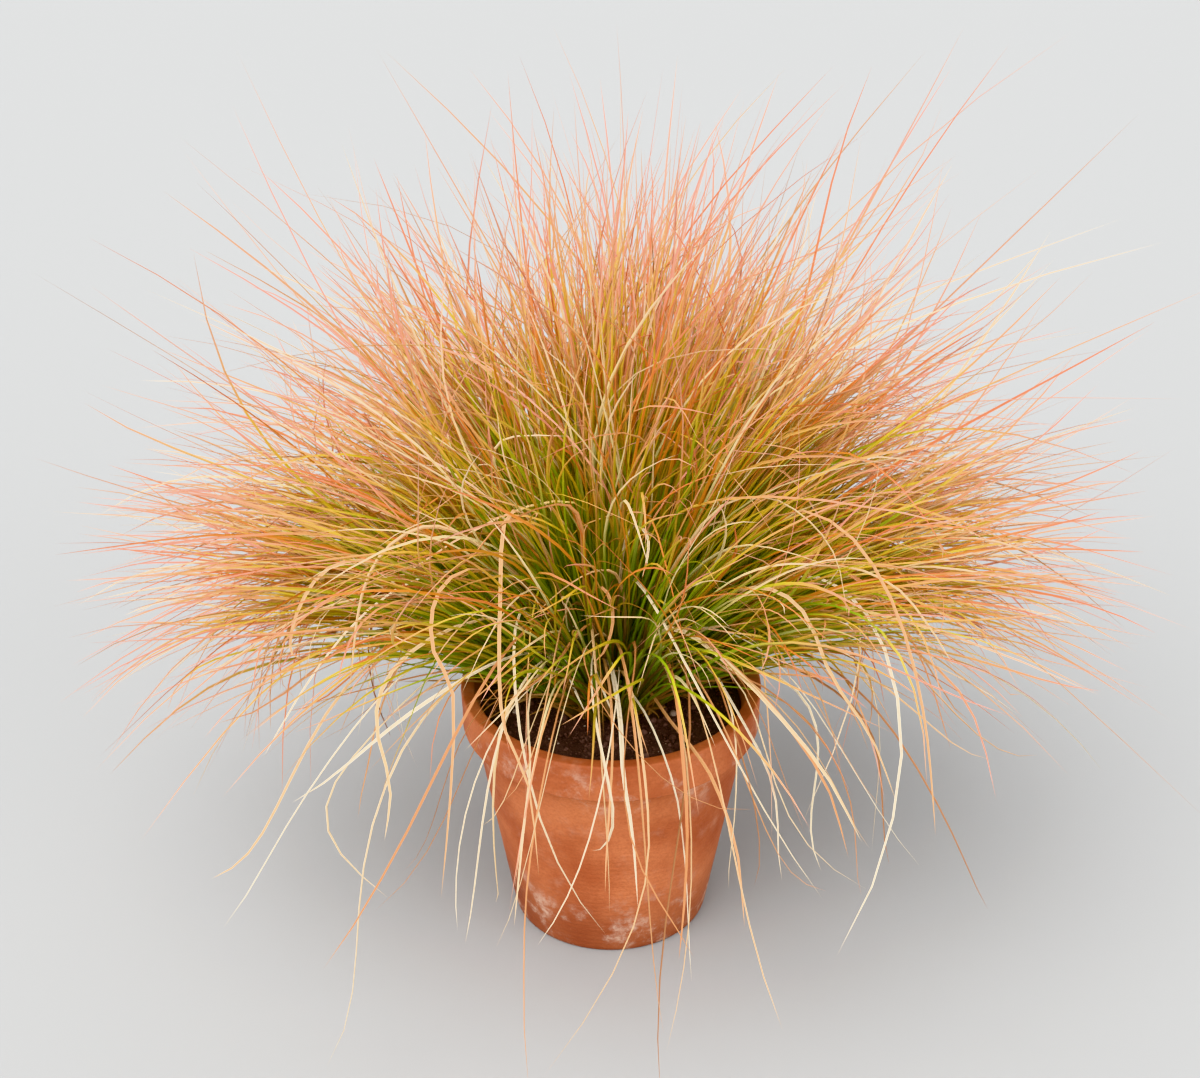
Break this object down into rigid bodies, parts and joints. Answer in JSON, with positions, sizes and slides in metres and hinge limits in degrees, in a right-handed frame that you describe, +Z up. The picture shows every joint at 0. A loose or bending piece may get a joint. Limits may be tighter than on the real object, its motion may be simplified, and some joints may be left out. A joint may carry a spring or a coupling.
{
  "type": "potted orange sedge",
  "caption": "Fine-leaved orange sedge in a plain clay pot of soil: a fountain of wiry blades, green at the heart and orange outside, with straw-coloured dead blades hanging over the rim.",
  "frame": {"origin": "middle of the pot's underside, on the surface it stands on", "axes": "+Z up; the front, where the dead blades hang thickest, is towards -Y; +X is to the right seen from the front"},
  "size_m": [0.942, 0.8681, 0.7667],
  "materials": {
    "terracotta": "unglazed, matte, slightly chalky",
    "soil": "loose, crumbly, matte",
    "green_blades": "fibrous, satin",
    "orange_blades": "fibrous, satin",
    "straw": "dry, fibrous, matte"
  },
  "bodies": {
    "root": {"pot": "terracotta", "potting_soil": "soil", "heart_bunch_01": "green_blades", "inner_bunch_01": "green_blades", "inner_bunch_02": "green_blades", "inner_bunch_03": "green_blades", "inner_bunch_04": "green_blades", "inner_bunch_05": "green_blades", "inner_bunch_06": "green_blades", "inner_bunch_07": "green_blades", "inner_bunch_08": "green_blades", "inner_straw_01": "straw", "inner_straw_02": "straw", "inner_straw_03": "straw", "inner_straw_04": "straw", "inner_straw_05": "straw", "outer_bunch_01": "orange_blades", "outer_bunch_02": "orange_blades", "outer_bunch_03": "orange_blades", "outer_bunch_04": "orange_blades", "outer_bunch_05": "orange_blades", "outer_bunch_06": "orange_blades", "outer_bunch_07": "orange_blades", "outer_bunch_08": "orange_blades", "outer_bunch_09": "orange_blades", "outer_bunch_10": "orange_blades", "outer_bunch_11": "orange_blades", "outer_bunch_12": "orange_blades", "outer_straw_01": "straw", "outer_straw_02": "straw", "outer_straw_03": "straw", "outer_straw_04": "straw", "outer_straw_05": "straw", "outer_straw_06": "straw", "outer_straw_07": "straw"}
  },
  "joints": []
}
